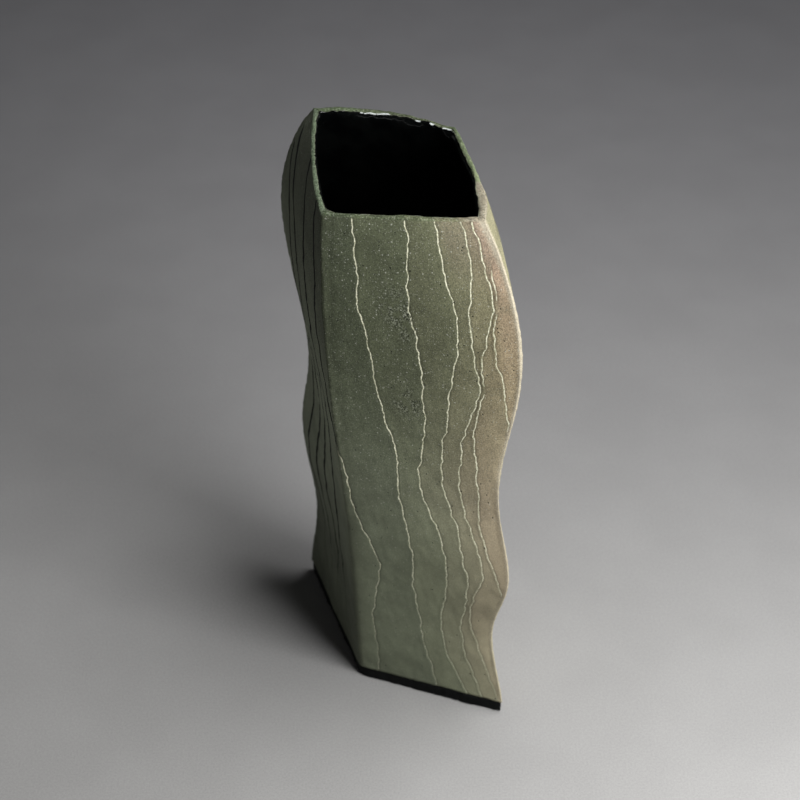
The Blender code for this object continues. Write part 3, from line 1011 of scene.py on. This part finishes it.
def seam_corners(depth):
    """The two inner corners at the seams on the top row, moved inward, with the directions of their sides."""
    corners = []
    for arriving, leaving in (("front_slab", "back_slab"), ("back_slab", "front_slab")):
        before = walls[arriving]["inner"][-1]
        after = walls[leaving]["inner"][-1]
        back = one_long(before[-3] - before[-1])
        ahead = one_long(after[2] - after[0])
        corners.append(moved_in((before[-1] + after[0]) / 2, back, ahead, depth))
    return corners


def glaze_skin():
    """The glaze's inner and outer rings, the rings that lap over the lip, and the lap's underside."""
    heights = np.linspace(lining_heights[0] + 1.0 * MM, HEIGHT - LIP_RADIUS, GLAZE_ROWS)
    dense = spline(lining_heights, lining, heights)
    inner = []
    outer = []
    steps = ring_steps(dense[-1])
    corners = seam_corners(GLAZE_WALL_GAP)
    inner_face = walls["back_slab"]["inner"][-1]
    fold = moved_in(*fold_corner(inner_face, INNER_FOLD, INNER_FOLD + FOLD_STRAIGHT), GLAZE_WALL_GAP)
    shift = None
    for height, path in zip(heights[::-1], dense[::-1]):
        amount = ramp_up(height, HEIGHT - 7 * MM, 5 * MM)
        ring = square_off(closed_ring(path, steps), corners, amount)
        ring = square_off(ring, [fold], amount, INNER_FOLD * 1.2)
        normal = ring_outward(ring)
        shift = lip_shift(ring) if shift is None else shift
        ring = ring + normal * shift[:, None] * lip_fade(height)
        inner.append(at_height(ring, height))
        outer.append(at_height(ring + normal * GLAZE_THICK, height))
    inner.reverse()
    outer.reverse()
    top = inner[-1]
    normal = at_height(ring_outward(top[:, :2]), 0.0)
    half = LIP_HALF - shift / 2
    centre = top + normal * (GLAZE_WALL_GAP + half)[:, None]
    rise = lip_rise(centre)
    width = lip_width(centre)
    back = np.clip(top[:, 1] / (40 * MM), 0, 1)
    bead = GLAZE_BEAD + GLAZE_BACK * back * (0.5 + 0.5 * np.clip(ripple(top, 7 * MM, 71), -1, 1))
    lap = 0.50 + 0.13 * np.clip(ripple(top, 6 * MM, 72), -1.5, 1.5) + 0.06 * ripple(top, 2.4 * MM, 73)
    front = np.clip(-top[:, 1] / (35 * MM), 0, 1)
    lap -= 0.12 * front
    low, high = top[:, 1].min(), top[:, 1].max()
    for share in GLAZE_NICKS:
        lap += 0.6 * bell(top[:, 1], low + share * (high - low), 1.1 * MM) * (top[:, 0] < -30 * MM)
    lap = np.clip(lap, 0.15, 1.0)[:, None] * math.pi / 2
    lap_rings = []
    for step in range(1, GLAZE_LAP_STEPS + 1):
        angle = lap * step / GLAZE_LAP_STEPS
        swell = bead[:, None] * (1 - (step / GLAZE_LAP_STEPS) ** 4)
        reach = (half + width)[:, None] * np.cos(angle) ** 0.72 + swell
        ring = centre - normal * reach
        ring[:, 2:] += (LIP_RADIUS + rise[:, None]) * np.sin(angle) ** 0.80 + swell * np.sin(angle)
        lap_rings.append(ring)
    under = centre - normal * (half * 0.6)[:, None]
    under[:, 2] -= 0.3 * MM
    return inner, outer, lap_rings, under


def ring_faces(count, columns):
    """Faces between closed rings that run counter-clockwise upwards, with a cap at either end."""
    faces = sheet_faces(count, columns, closed=True)
    last = (count - 1) * columns
    faces.append(tuple(reversed(range(columns))))
    faces.append(tuple(last + i for i in range(columns)))
    return faces


def build_glaze(material):
    """The glaze as one closed shell: floor, inner face, lap, and back down its outer face."""
    inner, outer, lap_rings, under = glaze_skin()
    floor_low = inner[0].copy()
    centre = floor_low.mean(0)
    floor_rings = []
    for share, drop in ((0.97, 0.8), (0.93, 1.0), (0.80, 1.0), (0.5, 1.0), (0.2, 1.0)):
        ring = centre + (floor_low - centre) * share
        ring[:, 2] = floor_low[:, 2] - drop * (floor_low[0, 2] - (FLOOR_TOP + 0.9 * MM))
        floor_rings.append(ring)
    underside = [at_height(ring[:, :2], FLOOR_TOP + 0.4 * MM) for ring in floor_rings]
    rings = floor_rings[::-1] + list(inner) + lap_rings + [under] + outer[::-1] + underside
    columns = len(floor_low)
    vertices = np.concatenate(rings)
    faces = [face[::-1] for face in ring_faces(len(rings), columns)]
    marks = np.zeros((len(rings), columns, 4))
    first_lap = len(floor_rings) + len(inner)
    last_lap = first_lap + GLAZE_LAP_STEPS
    up_lap = (np.arange(GLAZE_LAP_STEPS) + 1)[:, None] / GLAZE_LAP_STEPS
    marks[first_lap:last_lap, :, 0] = up_lap ** 2
    marks[last_lap, :, 0] = 1
    rim = lap_rings[0]
    across = (rim[:, 0] - rim[:, 0].min()) / (rim[:, 0].max() - rim[:, 0].min())
    # Painted highlight on the back lip's bead, in near-white patches
    for middle, reach in GLAZE_HIGHLIGHT_PATCHES:
        patch = bell(across, middle, reach, 4) * (rim[:, 1] > 30 * MM)
        marks[first_lap:last_lap, :, 1] += patch * ramp_up(up_lap, 0.25, 0.3)
    attributes = {"marks": marks.reshape(-1, 4)}
    return make_piece("glaze_skin", vertices, faces, attributes, material, ["glaze_lining"], "black_glaze")


# The base slab: the CAD's outline with hand-cut, softened edges

BASE_COLUMNS = 300
BASE_CORE = 20 * MM

# The edge from the underside up: how far each ring stands out from the outline, and its height
BASE_PROFILE = [
    (-BASE_CORE, 0.0),
    (-1.2 * MM, 0.0),
    (-0.35 * MM, 0.12 * MM),
    (0.0, 0.6 * MM),
    (0.12 * MM, 1.8 * MM),
    (0.16 * MM, 3.6 * MM),
    (0.18 * MM, 5.4 * MM),
    (0.10 * MM, 6.8 * MM),
    (-0.15 * MM, 7.5 * MM),
    (-0.7 * MM, FLOOR_TOP),
    (-BASE_CORE, FLOOR_TOP),
]


def base_skin(material):
    """The base slab: its outline, a little uneven, carried up a softened edge."""
    found = rows_of("base_slab")
    heights = sorted(found)
    widest = max(heights, key=lambda height: len(found[height]))
    path = around(found[widest], 0.0)
    outline = closed_ring_straight(path, BASE_COLUMNS)
    normal = ring_outward(outline)
    spots = at_height(outline, 0.0)
    uneven = 0.25 * MM * ripple(spots, 16 * MM, 81) + 0.12 * MM * ripple(spots, 4 * MM, 82)
    rings = []
    centre = outline.mean(0)
    for depth, height in BASE_PROFILE:
        if depth == -BASE_CORE:
            ring = centre + (outline - centre) * 0.6
        else:
            grip = 1.0 if height > 0.3 * MM else 0.5
            ring = outline + normal * (depth + uneven[:, None] * grip)
        rings.append(at_height(ring, height))
    vertices = np.concatenate(rings)
    faces = ring_faces(len(rings), BASE_COLUMNS)
    return make_piece("base_slab_clay", vertices, faces, {}, material, ["base_slab"], "dark_base_clay")


def closed_ring_straight(path, count):
    """Evenly spaced points along a closed path with straight sides."""
    closed = np.concatenate([path, path[:1]])
    run = run_along(closed)
    places = run[-1] * np.arange(count) / count
    ring = np.column_stack([np.interp(places, run, closed[:, axis]) for axis in range(2)])
    for _ in range(2):
        ring = ring * 0.5 + (np.roll(ring, 1, axis=0) + np.roll(ring, -1, axis=0)) * 0.25
    return ring


# Tones and levels of the walls' paint, by rule rather than strip by strip

GREEN = np.array([0.154, 0.166, 0.110])
TAN = np.array([0.385, 0.305, 0.210])
SHADED_GREEN = np.array([0.115, 0.128, 0.087])
BACK_TAN = np.array([0.40, 0.36, 0.25])
BACK_GREEN = np.array([0.125, 0.135, 0.09])


def toned(first, last, steps, count):
    """Tones that go from the first to the last in even ratios over some steps, and then stay."""
    return [first * (last / first) ** min(1.0, step / steps) for step in range(count)]


# Painted light on the front's left panel: a paler band with its middle height, its reach below and above, and
# its levels at the ends and at the middle
LEFT_PANEL_LIT_BAND = (165 * MM, 75 * MM, 110 * MM)
LEFT_PANEL_LIT_LEVELS = (0.78, 2.15)
LEFT_TINT = np.array([1.0, 1.0, 1.04])
LINE_FADE = ((20 * MM, 200 * MM), (0.38, 1.0))
# Painted shade: between these heights the walls darken from the first level to the second
SHADE_FADE = (90 * MM, 285 * MM)
SHADE_LEVELS = (1.09, 0.71)
SEAM_TONE = np.array([0.36, 0.318, 0.235])
LIP_TINT = np.array([0.92, 1.02, 0.88])
LIP_SIDE_TINT = np.array([0.25, 0.36, 0.36])
WARM_TINT = np.array([0.16, 0.07, 0.20])
GREENER = np.array([0.04, 0.0, 0.11])
DARK_REACH = 3.1 * MM
PALE_REACH = 2.0 * MM
CREST_LEVELS = ((60, 130, 320), (0.80, 0.66, 0.50))
CREST_WIDTHS = ((0, 22, 130), (4.0, 2.3, 1.3))
BACK_CREST_WIDTH = 1.2

# For each line: how pale it is and how much of a ledge it has; for each pitted patch: its strip,
# how far across the strip, its share of the height, and how tall it is
# The front's first lines, on its left panel, have no paleness: they are near-black as painted shade in the
# grooves
FRONT_PALENESS = [0] * 5 + [1] * 5 + [0.9]
FRONT_LEDGES = [0.3] * 4 + [0.6] + [1] * 6
PITTED = [(6, 0.85, 0.84, 15 * MM), (6, 0.65, 0.67, 10 * MM)]
BACK_PALENESS = [0, 0.8, 0, 0.8, 1, 1, 1, 1, 1, 0.6, 0]
BACK_LEDGES = [0.5] + [0.8] * 10

# Build the pieces

slip = slip_material()
dark_clay = clay_nodes("dark_base_clay", (0.0018, 0.0020, 0.0020, 1), (0.0050, 0.0054, 0.0052, 1),
                       (0.016, 0.016, 0.015, 1), 0.20 * MM, 0.10)
bare_clay = clay_nodes("bare_stoneware", (0.16, 0.125, 0.085, 1), (0.25, 0.20, 0.14, 1),
                       (0.08, 0.06, 0.04, 1), 0.20 * MM, 0.30)
glaze = glaze_material()

front_tones = [SHADED_GREEN] * 6 + toned(GREEN, TAN, 5, 6)
front = slab_skin("front_slab", front_lines(), FRONT_LEDGES, front_tones, FRONT_PALENESS, PITTED)
make_piece("front_slab_clay", *front, slip, ["front_slab"], "matte_slip")
back_tones = toned(BACK_TAN, BACK_GREEN, 7, 12)
back = slab_skin("back_slab", back_lines(), BACK_LEDGES, back_tones, BACK_PALENESS, [])
make_piece("back_slab_clay", *back, slip, ["back_slab"], "matte_slip")
build_glaze(glaze)
base_skin(dark_clay)
for name in ("seam_coil_right", "seam_coil_left", "floor_coil"):
    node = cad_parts[name]
    for material_slot in node.material_slots:
        material_slot.material = bare_clay


# Stage, light and camera

def studio_floor():
    """A flat square floor, just under the vase."""
    mesh = bpy.data.meshes.new("studio_floor")
    reach = 12 * HEIGHT
    corners = [(-reach, -reach, 0), (reach, -reach, 0), (reach, reach, 0), (-reach, reach, 0)]
    mesh.from_pydata(corners, [], [(0, 1, 2, 3)])
    mesh.materials.append(floor_material())
    floor = new_object("studio_floor", mesh)
    floor.location.z = cad_low[2] - 0.0002


def soft_light(name, target, turn, rise, distance, width, tall, power):
    """A soft box that looks at a target from a compass turn and a rise, both in degrees."""
    light = bpy.data.lights.new(name, "AREA")
    light.shape = "RECTANGLE"
    light.size = width
    light.size_y = tall
    light.energy = power
    item = new_object(name, light)
    turn = math.radians(turn)
    rise = math.radians(rise)
    away = Vector((math.sin(turn) * math.cos(rise), -math.cos(turn) * math.cos(rise), math.sin(rise)))
    item.location = Vector(target) + away * distance
    item.rotation_euler = (-away).to_track_quat("-Z", "Y").to_euler()


studio_floor()
soft_light("key", (0.02, -0.13, 0.05), 57, 39, 0.53, 0.33, 0.44, 4.9)
soft_light("overhead", (0.100, -0.100, 0.05), 125, 81, 1.17, 0.45, 0.45, 8.3)
soft_light("fill", (0.0, 0.0, 0.15), -95, 5, 1.1, 0.6, 0.3, 0.9)
world = bpy.data.worlds.new("studio")
bpy.context.scene.world = world
world.use_nodes = True
background = world.node_tree.nodes["Background"]
background.inputs["Color"].default_value = (0.9, 0.94, 1.0, 1)
background.inputs["Strength"].default_value = 0.004

camera = bpy.data.cameras.new("camera")
camera.lens = 90
camera.sensor_width = 36
sharpest = new_object("sharpest", None)
sharpest.location = (0, -0.03, 0.90 * HEIGHT)
camera.dof.use_dof = True
camera.dof.focus_object = sharpest
camera.dof.aperture_fstop = 15
viewer = new_object("camera", camera)
distance = 3.31 * HEIGHT
tilt = math.radians(38)
viewer.location = (-0.002, -distance * math.cos(tilt), 0.55 * HEIGHT + distance * math.sin(tilt))
viewer.rotation_euler = (math.radians(90) - tilt, 0, 0)
bpy.context.scene.camera = viewer
bpy.context.scene.view_settings.view_transform = "Standard"
